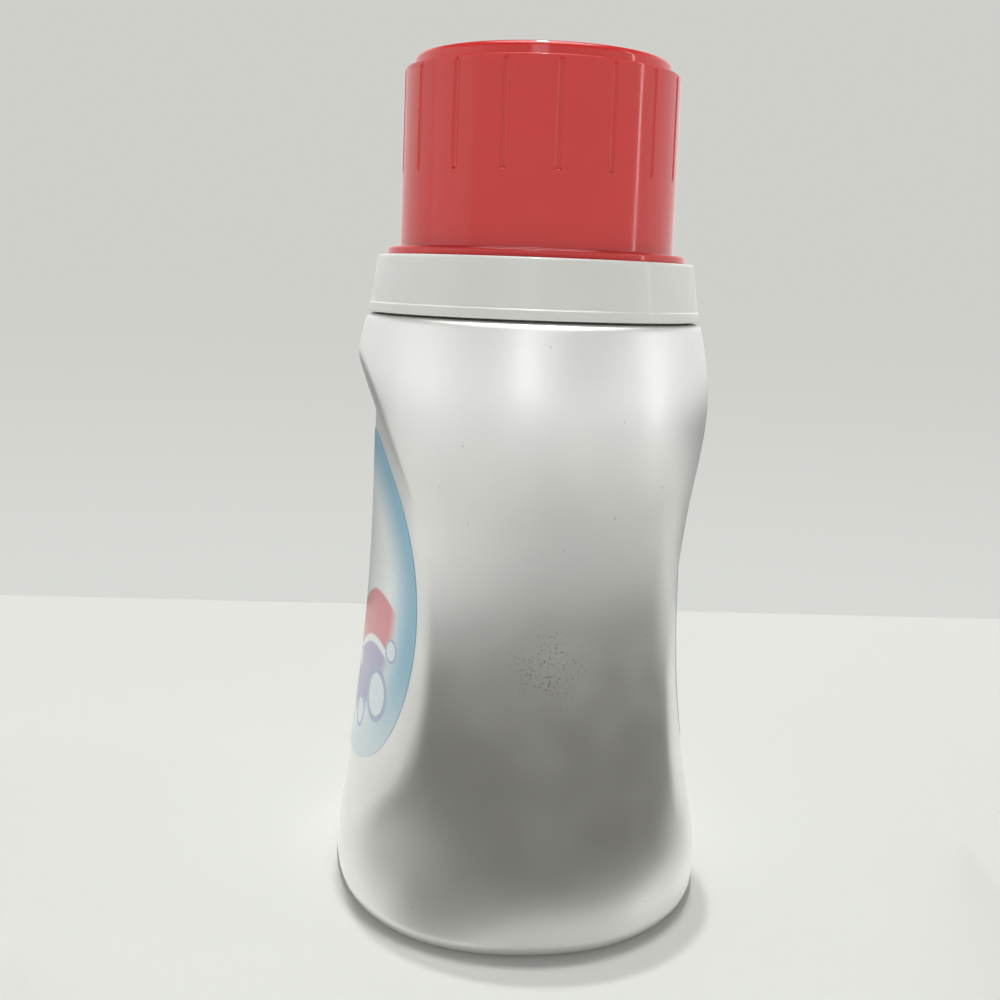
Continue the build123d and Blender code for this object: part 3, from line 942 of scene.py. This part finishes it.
# World: a bright band above the horizon, dimmer overhead, and a plain pale background.

world = {
    "band": 0.95, "bandTop": (0.40, 0.70), "above": 0.11, "low": 0.10, "lightColour": (1.0, 1.0, 0.985),
    "aheadStart": (-0.12, 0.07), "behindStart": (-0.12, 0.0), "sideBlend": (-0.3, 0.4),
    "glossAbove": 5.0, "glossStart": (0.86, 0.95),
    "background": (0.617, 0.624, 0.590), "backgroundLow": (0.69, 0.70, 0.665), "lowFade": (-0.25, 0.0),
}


def makeWorld():
    sky = bpy.data.worlds.new("studio")
    bpy.context.scene.world = sky
    sky.use_nodes = True
    tree = sky.node_tree
    tree.nodes.clear()
    at = addNode(tree, "ShaderNodeTexCoord").outputs["Generated"]
    toward, _, z = towardOf(tree, at)
    # the band starts higher on the camera's side than behind the bottle
    share = addNode(tree, "ShaderNodeMix", data_type="FLOAT")
    tree.links.new(stretchOf(tree, toward, *world["sideBlend"]), share.inputs[0])
    for socket, start in ((share.inputs[2], "behindStart"), (share.inputs[3], "aheadStart")):
        tree.links.new(stretchOf(tree, z, *world[start], world["low"], world["band"]), socket)
    top = stretchOf(tree, z, *world["bandTop"], 0.0, world["band"] - world["above"])
    # glossy rays see a bright ceiling overhead
    path = addNode(tree, "ShaderNodeLightPath").outputs
    ceiling = mathOf(tree, "MULTIPLY", path["Is Glossy Ray"],
                     stretchOf(tree, z, *world["glossStart"], 0.0, world["glossAbove"]))
    light = addNode(tree, "ShaderNodeBackground")
    light.inputs["Color"].default_value = (*world["lightColour"], 1)
    strength = mathOf(tree, "ADD", mathOf(tree, "SUBTRACT", share.outputs[0], top), ceiling)
    tree.links.new(strength, light.inputs["Strength"])
    plain = addNode(tree, "ShaderNodeBackground")
    lowness = stretchOf(tree, z, *world["lowFade"], 1.0, 0.0)
    wall = mixColour(tree, lowness, world["background"], world["backgroundLow"])
    tree.links.new(wall, plain.inputs["Color"])
    mix = addNode(tree, "ShaderNodeMixShader")
    tree.links.new(path["Is Camera Ray"], mix.inputs[0])
    tree.links.new(light.outputs[0], mix.inputs[1])
    tree.links.new(plain.outputs[0], mix.inputs[2])
    output = addNode(tree, "ShaderNodeOutputWorld")
    tree.links.new(mix.outputs[0], output.inputs[0])


makeWorld()


# Lamps: places and the height they aim at in millimetres, size in metres, power in watts.

lamps = {
    "ceilingLampLeft": {"toward": -511, "side": -95, "up": 3500, "size": (0.07, 0.07), "power": 44},
    "ceilingLampRight": {"toward": -301, "side": 10, "up": 3500, "size": (0.07, 0.07), "power": 57},
    "leftPanel": {"toward": 260, "side": -1000, "up": 480, "size": (0.8, 0.9), "power": 0.52},
    "rightStrip": {"toward": 60, "side": 900, "up": 520, "size": (0.035, 0.95), "power": 0.55},
    "cameraGlow": {"toward": 1000, "side": -60, "up": 760, "size": (0.26, 0.60), "power": 0.8},
}
lampAim = 110


def makeLamps():
    aim = Vector((0, 0, lampAim * mm))
    for name, lamp in lamps.items():
        data = bpy.data.lights.new(name, "AREA")
        data.shape = "RECTANGLE"
        data.size, data.size_y = lamp["size"]
        data.energy = lamp["power"]
        thing = bpy.data.objects.new(name, data)
        bpy.context.scene.collection.objects.link(thing)
        x, y = turnedPlace(lamp["toward"], lamp["side"])
        thing.location = (x * mm, y * mm, lamp["up"] * mm)
        thing.rotation_euler = (aim - thing.location).to_track_quat("-Z", "Y").to_euler()
        thing.visible_camera = False


makeLamps()


# Camera: place in millimetres, angles in degrees beyond its azimuth, clip in metres.

view = {"place": (325.0, -57.3, 152.5), "yaw": 1.17, "pitch": 9.61, "roll": 2.08,
        "lens": 46.57, "sensor": 36, "clip": 0.01}


def turnedPair(first, second, degrees):
    # two directions at right angles, turned in their own plane
    cos, sin = math.cos(math.radians(degrees)), math.sin(math.radians(degrees))
    return cos * first + sin * second, cos * second - sin * first


def makeCamera():
    right = Vector((-math.sin(viewTurn), math.cos(viewTurn), 0))
    ahead = Vector((-math.cos(viewTurn), -math.sin(viewTurn), 0))
    up = Vector((0, 0, 1))
    right, ahead = turnedPair(right, ahead, view["yaw"])
    up, ahead = turnedPair(up, ahead, view["pitch"])
    right, up = turnedPair(right, up, view["roll"])
    data = bpy.data.cameras.new("photoView")
    data.lens = view["lens"]
    data.sensor_width = view["sensor"]
    data.clip_start = view["clip"]
    thing = bpy.data.objects.new("photoView", data)
    bpy.context.scene.collection.objects.link(thing)
    facing = Matrix((right, up, -ahead)).transposed().to_4x4()
    thing.matrix_world = Matrix.Translation(Vector(view["place"]) * mm) @ facing
    bpy.context.scene.camera = thing


makeCamera()
bpy.context.scene.view_settings.view_transform = "Standard"
print("stage, lamps and camera set")

# bring every placement up to date
bpy.context.view_layer.update()
